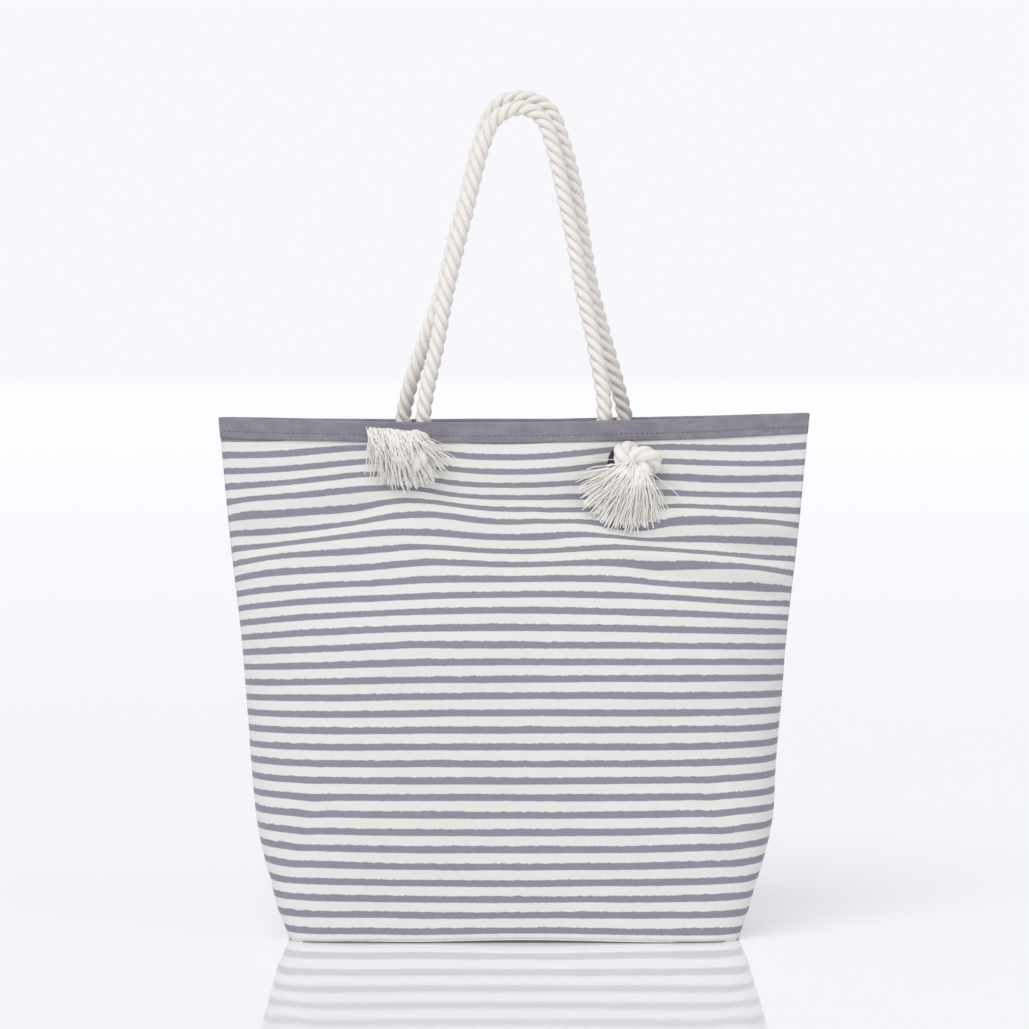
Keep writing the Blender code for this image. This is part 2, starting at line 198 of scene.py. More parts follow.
def make_printed_canvas():
    material, tree, shader = start_material("printed_cotton_canvas", roughness=0.92, sheen_weight=0.15, sheen_roughness=0.5)
    uv, u, v = cloth_coordinates(tree)
    height = add_cloth_bump(tree, shader, uv, u, v, TWILL, 0.30)
    wander = math_node(tree, "MULTIPLY", math_node(tree, "SUBTRACT", stretched_noise(tree, uv, 9, 75), 0.5), 1.6 * MM)
    swell = math_node(tree, "MULTIPLY", math_node(tree, "SUBTRACT", stretched_noise(tree, uv, 14, 60, shift=7), 0.5), 1.7 * MM)
    place = math_node(tree, "ADD", v, wander)
    turns = math_node(tree, "DIVIDE", place, STRIPE_PITCH)
    offset = math_node(tree, "MULTIPLY", math_node(tree, "SUBTRACT", math_node(tree, "FRACT", turns), 0.5), STRIPE_PITCH)
    ragged_top = math_node(tree, "MULTIPLY", math_node(tree, "SUBTRACT", stretched_noise(tree, uv, 170, 60, 5.0, 3), 0.5), 2.6 * MM)
    bristles = math_node(tree, "MULTIPLY", math_node(tree, "SUBTRACT", stretched_noise(tree, uv, 900, 70, 2.0, 5), 0.52), 1.2 * MM)
    top_edge = math_node(tree, "ADD", math_node(tree, "ADD", math_node(tree, "ADD", STRIPE_HALF, ragged_top), bristles), swell)
    ragged_low = math_node(tree, "MULTIPLY", math_node(tree, "SUBTRACT", stretched_noise(tree, uv, 200, 40, 4.0, 11), 0.5), 1.1 * MM)
    low_edge = math_node(tree, "ADD", -STRIPE_HALF, ragged_low)
    soft = 0.30 * MM
    below_top = add_node(tree, "ShaderNodeMapRange", {
        "Value": math_node(tree, "SUBTRACT", top_edge, offset), "From Min": -soft, "From Max": soft})
    above_low = add_node(tree, "ShaderNodeMapRange", {
        "Value": math_node(tree, "SUBTRACT", offset, low_edge), "From Min": -soft, "From Max": soft})
    ink = math_node(tree, "MULTIPLY", below_top.outputs[0], above_low.outputs[0])
    dry = add_node(tree, "ShaderNodeMapRange", {
        "Value": stretched_noise(tree, uv, 120, 1500, 4.0, 2), "From Min": 0.60, "From Max": 0.80, "To Max": 0.45})
    ink = math_node(tree, "MULTIPLY", ink, math_node(tree, "SUBTRACT", 1.0, dry.outputs[0]))
    # Painted shade: the colour is a little darker where the twill's height is low, between the threads
    thread_shade = add_node(tree, "ShaderNodeMapRange", {
        "Value": height, "From Min": 0.0, "From Max": 1.1, "To Min": 0.93, "To Max": 1.03})
    print_mix = add_node(tree, "ShaderNodeMix", {"Factor": ink, "A": linear("#ECE9E2"), "B": linear("#918E9C")}, data_type="RGBA")
    for key, value in (("A", linear("#EDEDE9")), ("B", linear("#92939C"))):
        [s for s in print_mix.inputs if s.name == key and s.type == "RGBA"][0].default_value = value
    mottled = add_node(tree, "ShaderNodeMapRange", {"Value": stretched_noise(tree, uv, 25, 25, shift=20), "To Min": 0.97, "To Max": 1.03})
    shade = math_node(tree, "MULTIPLY", thread_shade.outputs[0], mottled.outputs[0])
    colour = add_node(tree, "ShaderNodeVectorMath", {0: print_mix.outputs["Result"]}, operation="SCALE")
    colour = add_node(tree, "ShaderNodeHueSaturation", {"Color": [s for s in print_mix.outputs if s.type == "RGBA"][0], "Value": shade})
    tree.links.new(colour.outputs[0], shader.inputs["Base Color"])
    return material


printed_canvas = make_printed_canvas()
print("stripes every", round(STRIPE_PITCH / MM, 1), "mm")

# %% [markdown]
# ## Plain cloths: lining, binding and thread
# The lining is unbleached cotton and the binding grey canvas. They share one recipe, a woven cloth with
# thread lines and slubs, and differ in colour and thread spacing. The grey cloth fades a little in
# patches, which comes from noise on the cloth's own coordinates.

# %% Plain cloths


def make_plain_cloth(name, colour, faded, thread, strength):
    material, tree, shader = start_material(name, roughness=0.93, sheen_weight=0.12, sheen_roughness=0.5)
    uv, u, v = cloth_coordinates(tree)
    height = add_cloth_bump(tree, shader, uv, u, v, thread, strength)
    wear = stretched_noise(tree, uv, 60, 140, 5.0)
    mix = add_node(tree, "ShaderNodeMix", {"Factor": wear}, data_type="RGBA")
    for key, value in (("A", linear(colour)), ("B", linear(faded))):
        [s for s in mix.inputs if s.name == key and s.type == "RGBA"][0].default_value = value
    # Painted shade: the colour is a little darker where the thread lines' height is low
    shade = add_node(tree, "ShaderNodeMapRange", {"Value": height, "From Max": 1.1, "To Min": 0.88, "To Max": 1.05})
    result = [s for s in mix.outputs if s.type == "RGBA"][0]
    toned = add_node(tree, "ShaderNodeHueSaturation", {"Color": result, "Value": shade.outputs[0]})
    tree.links.new(toned.outputs[0], shader.inputs["Base Color"])
    return material


lining_cotton = make_plain_cloth("natural_cotton_lining", "#E4DFD3", "#DCD6C8", 1.2 * MM, 0.25)
grey_canvas = make_plain_cloth("grey_cotton_binding", "#77737F", "#B0ACB8", 1.4 * MM, 0.9)
thread_cotton, _, _ = start_material("sewing_thread", base_color=linear("#7A7077"), roughness=0.7, sheen_weight=0.2)
pale_thread, _, _ = start_material("pale_sewing_thread", base_color=linear("#D9D4C9"), roughness=0.7, sheen_weight=0.2)

# %% [markdown]
# ## Cotton rope and yarn
# Soft-laid cotton rope: cream, matt and fuzzy. Light that sinks between the strands comes back
# yellower and dimmer, and this is painted into the colour as shade: the colour follows an attribute
# that the mesh carries, 0 on a strand's crown and 1 down in the groove. Where the fluff's bump is low
# the colour is a little darker, also painted shade. The yarn in the frayed ends is the same cotton, a
# touch pinker where it is thin.

# %% Rope and yarn


def make_cotton(name, crown, groove, fuzz):
    material, tree, shader = start_material(
        name, roughness=0.9, sheen_weight=0.25, sheen_roughness=0.4)
    depth = add_node(tree, "ShaderNodeAttribute", attribute_name="groove").outputs["Fac"]
    coordinates = add_node(tree, "ShaderNodeTexCoord").outputs["Object"]
    fluff = add_node(tree, "ShaderNodeTexNoise", {"Vector": coordinates, "Scale": fuzz, "Detail": 5.0, "Roughness": 0.65})
    # Painted shade: the colour turns darker and yellower from a strand's crown down into its groove
    mix = add_node(tree, "ShaderNodeMix", {"Factor": depth}, data_type="RGBA")
    for key, value in (("A", linear(crown)), ("B", linear(groove))):
        [s for s in mix.inputs if s.name == key and s.type == "RGBA"][0].default_value = value
    # Painted shade: the colour is a little darker where the fluff's bump is low
    shade = add_node(tree, "ShaderNodeMapRange", {"Value": fluff.outputs["Fac"], "To Min": 0.92, "To Max": 1.05})
    result = [s for s in mix.outputs if s.type == "RGBA"][0]
    toned = add_node(tree, "ShaderNodeHueSaturation", {"Color": result, "Value": shade.outputs[0]})
    tree.links.new(toned.outputs[0], shader.inputs["Base Color"])
    bump = add_node(tree, "ShaderNodeBump", {"Height": fluff.outputs["Fac"], "Strength": 0.35, "Distance": 0.0004})
    tree.links.new(bump.outputs[0], shader.inputs["Normal"])
    return material


# The second colour of each is the painted shade down in the grooves
rope_cotton = make_cotton("laid_cotton_rope", "#F8F4EF", "#EDE5D9", 1800)
yarn_cotton = make_cotton("frayed_cotton_yarn", "#FFFBF5", "#E6D8CA", 2500)

# %% [markdown]
# ## The eyelets' metal
# Stamped brass, made dark: metallic 1, roughness about 0.35, with fine scratches from the setting tool
# that show as slightly brighter rings of wear. The dark tone is painted shade: it makes the eyelet's rim
# show as the dark arc of shade beside the knot, where the rope meets its hole.

# %% Dark eyelet metal, painted shade


def make_shade_dark_metal():
    material, tree, shader = start_material("eyelet_metal_darkened_as_painted_shade", metallic=1.0, roughness=0.36)
    coordinates = add_node(tree, "ShaderNodeTexCoord").outputs["Object"]
    scratches = add_node(tree, "ShaderNodeTexNoise", {"Vector": coordinates, "Scale": 900.0, "Detail": 6.0, "Roughness": 0.7})
    # Painted shade: two dark greys, so that the eyelet's rim shows as the dark arc of shade beside the knot
    tone = add_node(tree, "ShaderNodeMix", {"Factor": scratches.outputs["Fac"]}, data_type="RGBA")
    for key, value in (("A", linear("#3B3C42")), ("B", linear("#5A5B62"))):
        [s for s in tone.inputs if s.name == key and s.type == "RGBA"][0].default_value = value
    tree.links.new([s for s in tone.outputs if s.type == "RGBA"][0], shader.inputs["Base Color"])
    rough = add_node(tree, "ShaderNodeMapRange", {"Value": scratches.outputs["Fac"], "To Min": 0.28, "To Max": 0.46})
    tree.links.new(rough.outputs[0], shader.inputs["Roughness"])
    return material


# The eyelets and washers take this dark metal; its darkness is painted shade at the rope's hole
shade_dark_metal = make_shade_dark_metal()
metal_nodes = [name for name in frame["nodes"] if name.endswith(("eyelet", "washer"))]
for name in metal_nodes:
    node_mesh = frame["nodes"][name].data
    node_mesh.materials.clear()
    node_mesh.materials.append(shade_dark_metal)
print(len(metal_nodes), "metal rings kept from the frame")

# %% [markdown]
# ## The bag's shape
# A bag is a lofted shell: its outline at each height is a soft rectangle at the base and a lens at the
# rim, and each outline is the same length, because both come from one width of cloth. The half width
# and the belly are smooth curves through a few heights. The cloth leans back above the belly, where
# the ropes' knots pull at it, and it carries creases: each one is a line on the wall with a width
# and a depth, raised or sunk along the wall's normal.

# %% The wall as a formula
WIDTH_CURVE = ((0.0, 0.190), (0.09, 0.2040), (0.185, 0.2155), (0.39, 0.2250), (0.58, 0.2318), (0.77, 0.2410), (1.0, 0.2500))
BELLY_CURVE = ((0.0, 0.0600), (0.12, 0.0655), (0.35, 0.0705), (0.60, 0.0680), (0.76, 0.0545), (0.86, 0.0428), (0.92, 0.0416), (1.0, 0.0400))
# Cloth coordinate at a share of the height: middle of the wall, and its left and right edges
MIDDLE_STRETCH = ((0.0, -0.002), (0.15, 0.141), (0.28, 0.260), (0.41, 0.382), (0.54, 0.505), (0.67, 0.628),
                  (0.73, 0.690), (0.79, 0.764), (0.83, 0.813), (0.88, 0.880), (0.93, 0.937), (1.0, 1.0))
LEFT_STRETCH = ((0.0, -0.007), (0.15, 0.134), (0.41, 0.396), (0.54, 0.536), (0.67, 0.678), (0.79, 0.803), (1.0, 1.012))
RIGHT_STRETCH = ((0.0, -0.002), (0.15, 0.132), (0.41, 0.391), (0.54, 0.523), (0.67, 0.666), (0.79, 0.788), (1.0, 0.993))
# Where a knot drags the cloth: place, height, reach across, reach up, how far down the cloth is pulled
PULLS = (
    (-0.093, 0.386, 0.040, 0.031, 5.0), (0.093, 0.386, 0.045, 0.035, 4.0), (-0.125, 0.400, 0.060, 0.050, 7.5),
    (-0.070, 0.350, 0.035, 0.035, 4.5), (0.120, 0.410, 0.070, 0.035, 5.5), (0.098, 0.358, 0.030, 0.016, -6.0),
)


def follow(points, share):
    """A smooth curve through (place, value) points, by cubic Hermite steps; share may be an array."""
    places, values = np.array(points).T
    slopes = np.gradient(values, places)
    share = np.clip(share, 0, 1)
    spot = np.clip(np.searchsorted(places, share) - 1, 0, len(places) - 2)
    wide = places[spot + 1] - places[spot]
    t = (share - places[spot]) / wide
    return (values[spot] * (2 * t ** 3 - 3 * t ** 2 + 1) + slopes[spot] * wide * (t ** 3 - 2 * t ** 2 + t)
            + values[spot + 1] * (3 * t ** 2 - 2 * t ** 3) + slopes[spot + 1] * wide * (t ** 3 - t ** 2))


def half_outline(share, columns):
    """x and depth of columns + 1 points along one wall at a share of its height, evenly spaced."""
    width, depth = follow(WIDTH_CURVE, share), follow(BELLY_CURVE, share)
    across = 1 / (1 / 8 + (1 / 2 - 1 / 8) * share)
    along = 1 / (1 / 8 + (1 - 1 / 8) * share)
    angle = np.linspace(-math.pi / 2, math.pi / 2, 1601)
    x = width * np.sign(np.sin(angle)) * np.abs(np.sin(angle)) ** (2 / across)
    y = depth * np.abs(np.cos(angle)) ** (2 / along)
    reach = np.concatenate([[0], np.cumsum(np.hypot(np.diff(x), np.diff(y)))])
    even = np.linspace(0, reach[-1], columns + 1)
    return np.interp(even, reach, x), np.interp(even, reach, y)


def rim_height(x, side=1):
    """The rim's height: it dips between the seams, more in front, and hangs lower at its left end."""
    across = 2 * x / RIM_WIDTH
    sag = 1.2 * MM * (1 - side) / 2 * (1 - across ** 2)
    return RIM_HEIGHT - RIM_DIP * (1 - across ** 2) - 1.8 * MM * (1 - across) - sag


def base_lift(x):
    """The base's long edges rise a little between the corners that the bag stands on."""
    return 2.4 * MM * np.exp(-((x - 0.01) / 0.085) ** 2) + 0.8 * MM * np.exp(-((x + 0.12) / 0.03) ** 2)


# Creases as (start x, start share of height, end x, end share, width, rise), in metres
FRONT_CREASES = (
    (0.075, 0.825, 0.245, 0.775, 0.0075, 0.0052), (0.085, 0.795, 0.240, 0.735, 0.009, -0.0052),
    (0.070, 0.760, 0.225, 0.690, 0.011, 0.0046), (0.100, 0.725, 0.238, 0.655, 0.012, -0.0042),
    (0.115, 0.905, 0.245, 0.870, 0.010, 0.0024), (-0.110, 0.880, -0.240, 0.820, 0.012, 0.0034),
    (-0.110, 0.845, -0.235, 0.765, 0.013, -0.0036), (-0.095, 0.800, -0.225, 0.700, 0.013, 0.0026),
    (-0.070, 0.880, 0.020, 0.830, 0.013, -0.0036), (0.020, 0.830, 0.075, 0.865, 0.012, -0.0036),
    (-0.075, 0.830, 0.070, 0.790, 0.013, 0.0038), (-0.090, 0.790, 0.040, 0.760, 0.014, -0.0030),
    (-0.150, 0.700, 0.030, 0.720, 0.020, -0.0022), (-0.200, 0.10, -0.165, 0.30, 0.012, -0.0022),
    (0.200, 0.10, 0.160, 0.32, 0.012, -0.0022), (-0.200, 0.600, -0.060, 0.560, 0.022, 0.0018),
    (0.040, 0.480, 0.210, 0.520, 0.022, 0.0018),
)
BACK_CREASES = (
    (-0.110, 0.870, -0.240, 0.790, 0.012, 0.0026), (-0.110, 0.840, -0.235, 0.750, 0.014, -0.0028),
    (0.110, 0.880, 0.240, 0.830, 0.012, 0.0022), (0.100, 0.850, 0.238, 0.740, 0.014, -0.0026),
    (-0.070, 0.860, 0.010, 0.800, 0.014, -0.0024), (0.010, 0.790, 0.080, 0.840, 0.014, -0.0024),
    (-0.190, 0.620, 0.020, 0.580, 0.020, 0.0014), (0.200, 0.10, 0.165, 0.28, 0.012, -0.0018),
    (-0.200, 0.12, -0.160, 0.34, 0.012, -0.0018), (-0.020, 0.450, 0.190, 0.400, 0.022, 0.0012),
)


def crease_rise(creases, x, share):
    """How far the creases lift the cloth at each point of the wall."""
    rise = np.zeros_like(x)
    for x0, h0, x1, h1, wide, lift in creases:
        run, climb = x1 - x0, (h1 - h0) * RIM_HEIGHT
        length = run * run + climb * climb
        px, pz = x - x0, (share - h0) * RIM_HEIGHT
        t = np.clip((px * run + pz * climb) / length, -0.3, 1.3)
        bow = 0.006 * np.sin(math.pi * np.clip(t, 0, 1)) * math.copysign(1, lift)
        off = (pz * run - px * climb) / math.sqrt(length) * math.copysign(1, run) - bow
        ends = np.exp(-(np.maximum(0, np.abs(t - 0.5) - 0.30) / 0.22) ** 2)
        rise += lift * np.exp(-(off / wide) ** 2) * ends
    return rise


def cloth_ripple(x, share, seed):
    """Soft unevenness of the whole wall, longer across than up, gone at the seams and the rim."""
    ripple = np.zeros_like(x)
    for row in range(x.shape[0]):
        for column in range(x.shape[1]):
            h = share[row, column]
            spot = Vector((x[row, column] * 9, h * 7, seed))
            fine = Vector((x[row, column] * 26, h * 24, seed + 4))
            ripple[row, column] = 2.2 * noise.noise(spot) + 0.7 * noise.noise(fine)
    return ripple * MM


EYELET_X = (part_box("front_right_eyelet")[0][0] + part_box("front_right_eyelet")[1][0]) / 2
EYELET_Z = (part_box("front_right_eyelet")[0][2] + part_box("front_right_eyelet")[1][2]) / 2
print("eyelets", round(EYELET_X, 3), "m from the middle,", round(EYELET_Z, 3), "m up")


def wall_grid(side, rows, columns, inset, low):
    """Positions (rows + 1, columns + 1, 3) of one wall layer, with its normals, shares of height and x places."""
    shares = np.linspace(0, 1, rows + 1)
    xs, ys = (np.array(part) for part in zip(*[half_outline(share, columns) for share in shares]))
    height = np.repeat(shares[:, None], columns + 1, axis=1)
    top = rim_height(xs, side)
    low = low + base_lift(xs) * np.clip(1 - height / 0.15, 0, 1) ** 2
    points = np.stack([xs, side * ys, low + (top - low) * height], axis=-1)
    across = np.gradient(points, axis=1)
    upward = np.gradient(points, axis=0)
    normal = np.cross(across, upward) * -side
    normal /= np.linalg.norm(normal, axis=-1, keepdims=True)
    settled = np.clip((1 - height) / 0.10, 0, 1) * np.clip(height / 0.06, 0, 1)
    edge = np.clip((1 - np.abs(np.linspace(-1, 1, columns + 1)))[None, :] / 0.05, 0, 1)
    creases = FRONT_CREASES if side < 0 else BACK_CREASES
    rise = crease_rise(creases, xs, height) + cloth_ripple(xs, height, 2.0 + side)
    near_eyelet = np.ones_like(xs)
    for hand in (-1, 1):
        reach = np.hypot(xs - hand * EYELET_X, points[..., 2] - EYELET_Z)
        near_eyelet *= np.clip((reach - 0.017) / 0.015, 0, 1)
    points += normal * (rise * settled * edge * near_eyelet)[..., None]
    points -= normal * inset
    return points, normal, height, xs


def cloth_uv(height, columns, xs, creases):
    """Distance along the cloth and up it, in metres: the middle of a wall leans and is stretched."""
    along = np.linspace(-RIM_WIDTH / 2, RIM_WIDTH / 2, columns + 1)[None, :] + 0 * height
    middle = np.cos(np.clip(np.abs(along) / (RIM_WIDTH / 2), 0, 1) * math.pi / 2) ** 0.8
    side = np.where(along < 0, follow(LEFT_STRETCH, height), follow(RIGHT_STRETCH, height))
    up = (side + (follow(MIDDLE_STRETCH, height) - side) * middle) * RIM_HEIGHT
    for x, z, wide, tall, pull in PULLS:
        up = up - pull * MM * np.exp(-((along - x) / wide) ** 2 - ((height * RIM_HEIGHT - z) / tall) ** 2)
    settled = np.clip((1 - height) / 0.10, 0, 1) * np.clip(height / 0.06, 0, 1)
    up = up - 0.55 * crease_rise(creases, xs, height) * settled
    return along, up


def sheet_from(points, along, up, side):
    """A bmesh grid whose vertices take the given positions and whose UV map holds the cloth's own place."""
    rows, columns = points.shape[0] - 1, points.shape[1] - 1
    bm = bmesh.new()
    bmesh.ops.create_grid(bm, x_segments=columns, y_segments=rows, size=0.5)
    layer = bm.loops.layers.uv.new("cloth")
    spots = {}
    for vert in bm.verts:
        column, row = round((vert.co.x + 0.5) * columns), round((vert.co.y + 0.5) * rows)
        spots[vert] = (row, column)
        vert.co = points[row, column]
    for face in bm.faces:
        for loop in face.loops:
            row, column = spots[loop.vert]
            loop[layer].uv = (along[row, column], up[row, column])
    if side > 0:
        bmesh.ops.reverse_faces(bm, faces=bm.faces)
    return bm


def finish_piece(name, bm, material, body, replaced=(), thickness=0.0, offset=-1.0):
    """Make the object, give the cloth its thickness, hang it on its body's empty and hide the frame parts that it
    replaces.
    """
    mesh = bpy.data.meshes.new(name)
    bm.to_mesh(mesh)
    bm.free()
    for polygon in mesh.polygons:
        polygon.use_smooth = True
    mesh.materials.append(material)
    obj = bpy.data.objects.new(name, mesh)
    bpy.context.scene.collection.objects.link(obj)
    if thickness:
        solid = obj.modifiers.new("cloth_thickness", "SOLIDIFY")
        solid.thickness = thickness
        solid.offset = offset
        bpy.context.view_layer.update()
        solid_mesh = bpy.data.meshes.new_from_object(obj.evaluated_get(bpy.context.evaluated_depsgraph_get()))
        obj.modifiers.clear()
        obj.data = solid_mesh
        obj.data.name = name
    if body:
        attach(obj, body)
    if replaced:
        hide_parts(*replaced)
    return obj


# %% [markdown]
# ## Outer walls, base and lining
# Each wall is a grid bent onto the loft and thickened inwards. Where an eyelet's barrel passes, the
# faces inside it are deleted; the cloth's cut edge is under the flange. The lining is the same loft,
# one canvas thickness further in, so that both layers share every crease and never cross.

# %% Walls
WALL_ROWS, WALL_COLUMNS = 150, 170


def pierce(bm, radius):
    """Delete the faces inside the two eyelet barrels."""
    flat = Vector((1, 0, 1))
    for hand in (-1, 1):
        centre = Vector((hand * EYELET_X, 0, EYELET_Z))
        inside = [f for f in bm.faces if ((f.calc_center_median() - centre) * flat).length < radius]
        bmesh.ops.delete(bm, geom=inside, context="FACES")


def make_wall(name, side, inset, thickness, low, material, replaced):
    points, _, height, xs = wall_grid(side, WALL_ROWS, WALL_COLUMNS, inset, low)
    creases = FRONT_CREASES if side < 0 else BACK_CREASES
    points[..., 1] = side * np.maximum(side * points[..., 1], GAP / 2)
    level_rim = RIM_HEIGHT - RIM_DIP * (1 - (2 * xs / RIM_WIDTH) ** 2)
    level = height * rim_height(xs, side) / level_rim
    bm = sheet_from(points, *cloth_uv(level, WALL_COLUMNS, xs, creases), side)
    pierce(bm, 9.5 * MM)
    return finish_piece(name, bm, material, "bag", (replaced,), thickness)


def make_base(name, inset, low, thickness, material, replaced):
    """A base panel between the two walls' lowest rows."""
    rows = 36
    front = wall_grid(-1, 2, WALL_COLUMNS, inset, low)[0][0]
    back = wall_grid(1, 2, WALL_COLUMNS, inset, low)[0][0]
    share = np.linspace(0, 1, rows + 1)[:, None, None]
    points = front[None] * (1 - share) + back[None] * share
    points[..., 2] = low + base_lift(points[..., 0]) * (2 * share[..., 0] - 1) ** 4
    bm = sheet_from(points, points[..., 0], points[..., 1] - points[0, 0, 1] - 0.058, -1)
    bmesh.ops.reverse_faces(bm, faces=bm.faces)
    return finish_piece(name, bm, material, "bag", (replaced,), thickness)


SIDES = (("front", -1), ("back", 1))
for side_name, side in SIDES:
    make_wall(f"outer_{side_name}_wall", side, 0.0, CANVAS, CANVAS, printed_canvas,
              f"outer_{side_name}_panel")
    make_wall(f"lining_{side_name}_wall", side, CANVAS + GAP, LINING, STACK + GAP, lining_cotton,
              f"lining_{side_name}_panel")
make_base("outer_base_cloth", 0.0, 0.0, CANVAS, printed_canvas, "outer_base")
make_base("lining_base_cloth", CANVAS + GAP, CANVAS + GAP, LINING, lining_cotton, "lining_base")
print("walls of", WALL_ROWS * WALL_COLUMNS, "faces a side")

# %% [markdown]
# ## The binding
# A strip of grey canvas is folded over the rim and sewn through. Its section is a U: down the
# outside, over the top edge and down the inside. The strip is never quite straight: it puckers
# between stitches and rumples at the side seams.

# %% Binding
BINDING_COLUMNS = 260


def wall_line(side, rise, columns):
    """The wall's outer face at a distance below the rim: points and outward directions."""
    share = 1 + min(rise, 0) / RIM_HEIGHT
    x, y = half_outline(share, columns)
    points = np.stack([x, side * y, rim_height(x, side) + min(rise, 0)], axis=-1)
    across = np.gradient(points, axis=0)
    out = np.cross(across, (0, 0, 1)) * -side
    return points, out / np.linalg.norm(out, axis=-1, keepdims=True)


def make_binding(name, side, replaced):
    outside, inside = -(GAP + BINDING / 2), STACK + GAP + BINDING / 2
    radius, middle = (inside - outside) / 2, (inside + outside) / 2
    legs = np.linspace(-BINDING_DROP, 0, 11)
    fold = np.linspace(0, math.pi, 9)[1:-1]
    section = [(outside, rise) for rise in legs]
    section += [(middle - radius * math.cos(angle), radius * math.sin(angle)) for angle in fold]
    section += [(inside, rise) for rise in reversed(legs)]
    grid, along, up = [], [], []
    walked = 0.0
    for number, (depth, rise) in enumerate(section):
        points, out = wall_line(side, rise, BINDING_COLUMNS)
        points = points - out * depth
        points[:, 2] += max(rise, 0)
        loose = min(1.0, number / 6, (len(section) - 1 - number) / 6)
        for column in range(BINDING_COLUMNS + 1):
            x = points[column, 0]
            rumple = 0.60 + 1.3 * max(0, abs(x) / (RIM_WIDTH / 2) - 0.93) / 0.07
            puff = noise.noise(Vector((x * 55, rise * 120, 3 + side))) * 0.45 * MM * rumple
            pucker = 0.10 * MM * math.sin(2 * math.pi * x / (9.2 * MM)) * (1 - loose)
            points[column] += out[column] * (puff * (0.4 + 0.6 * loose) + pucker)
            points[column, 2] += noise.noise(Vector((x * 16, 9, side))) * 0.8 * MM * rumple
        if number:
            walked += math.hypot(depth - section[number - 1][0], rise - section[number - 1][1])
        points[:, 1] = side * np.maximum(side * points[:, 1], GAP / 2)
        grid.append(points)
        along.append(np.linspace(0, RIM_WIDTH, BINDING_COLUMNS + 1))
        up.append(np.full(BINDING_COLUMNS + 1, walked))
    bm = sheet_from(np.array(grid), np.array(along), np.array(up), side)
    return finish_piece(name, bm, grey_canvas, "bag", (replaced,), BINDING, 0.0)


for side_name, side in SIDES:
    make_binding(f"binding_{side_name}_strip", side, f"binding_{side_name}")

# %% [markdown]
# ## Stitching
# One row of lockstitch holds the binding, and shows on both of its faces. Each stitch is a small
# rounded grain of thread that lies in the cloth; a few dozen faces are enough for one, because there
# are hundreds.

# %% Stitches


def add_stitch(bm, centre, along, out, length, radius):
    """One stitch: a stretched ball of thread."""
    third = along.cross(out)
    turn = Matrix((along, third, out)).transposed().to_4x4()
    turn.translation = centre
    scale = Matrix.Diagonal((length / 2, radius, radius, 1))
    bmesh.ops.create_icosphere(bm, subdivisions=1, radius=1.0, matrix=turn @ scale)


def stitch_row(name, side, rise, depth, pitch, material):
    points, out = wall_line(side, rise, 2000)
    reach = np.concatenate([[0], np.cumsum(np.linalg.norm(np.diff(points, axis=0), axis=1))])
    bm = bmesh.new()
    for number in range(1, int(reach[-1] / pitch)):
        spot = np.searchsorted(reach, number * pitch)
        if abs(points[spot, 0]) > RIM_WIDTH / 2 - 4 * MM:
            continue
        direction = Vector(points[spot + 1] - points[spot - 1]).normalized()
        direction = (direction + Vector((0, 0, 0.10 * (-1) ** number))).normalized()
        outward = Vector(out[spot])
        outward = (outward - direction * outward.dot(direction)).normalized()
        x = points[spot, 0]
        wobble = noise.noise(Vector((x * 16, 9, side))) * 0.8 * MM * 0.60
        centre = Vector(points[spot]) - outward * depth + Vector((0, 0, wobble))
        add_stitch(bm, centre, direction, outward, pitch * 0.66, 0.45 * MM)
    return finish_piece(name, bm, material, "bag")


STITCH_RISE = -BINDING_DROP + 6.2 * MM
for side_name, side in SIDES:
    stitch_row(f"rim_stitching_{side_name}_outside", side, STITCH_RISE, -(GAP + BINDING + 0.12 * MM), 4.4 * MM,
               thread_cotton)
    stitch_row(f"rim_stitching_{side_name}_inside", side, STITCH_RISE, STACK + GAP + BINDING + 0.12 * MM, 4.4 * MM,
               thread_cotton)
print("stitched")

# %% [markdown]
# ## Rope
# Three strands laid round each other. The section of such a rope is three overlapping circles, and
# the section turns once for each lay length, about three and a half rope diameters here. Each strand is a bundle of
# yarns, which show as fine ribs. So the rope is one tube: at every step along its path, a ring of
# points is set at the section's radius, turned by the twist.

# %% Rope helpers
LAY = 31.8 * MM


def smooth_path(points, step):
    """A Catmull-Rom curve through the points, resampled to even steps."""
    points = [Vector(point) for point in points]
    ends = [points[0] * 2 - points[1], *points, points[-1] * 2 - points[-2]]
    fine = []
    for number in range(1, len(ends) - 2):
        a, b, c, d = ends[number - 1:number + 3]
        for part in range(24):
            t = part / 24
            fine.append(0.5 * (2 * b + (c - a) * t + (2 * a - 5 * b + 4 * c - d) * t ** 2
                               + (3 * b - a - 3 * c + d) * t ** 3))
    fine.append(points[-1])
    line = np.array(fine)
    reach = np.concatenate([[0], np.cumsum(np.linalg.norm(np.diff(line, axis=0), axis=1))])
    count = max(2, round(reach[-1] / step))
    even = np.linspace(0, reach[-1], count + 1)
    return np.stack([np.interp(even, reach, line[:, axis]) for axis in range(3)], axis=-1), reach[-1]


def strand_radius(angle, radius, strands, sink):
    """Outer radius of a laid rope at an angle of its section, and how deep in a groove that is, 0 to 1."""
    strand = radius * math.sin(math.pi / strands) / (1 + math.sin(math.pi / strands))
    centre = radius - strand
    turn = 2 * math.pi / strands
    off = (angle + turn / 2) % turn - turn / 2
    outer = centre * math.cos(off) + math.sqrt(max(0.0, strand ** 2 - (centre * math.sin(off)) ** 2))
    shallow = radius + (outer - radius) * sink
    return shallow, (radius - outer) / (radius - centre * math.cos(turn / 2))


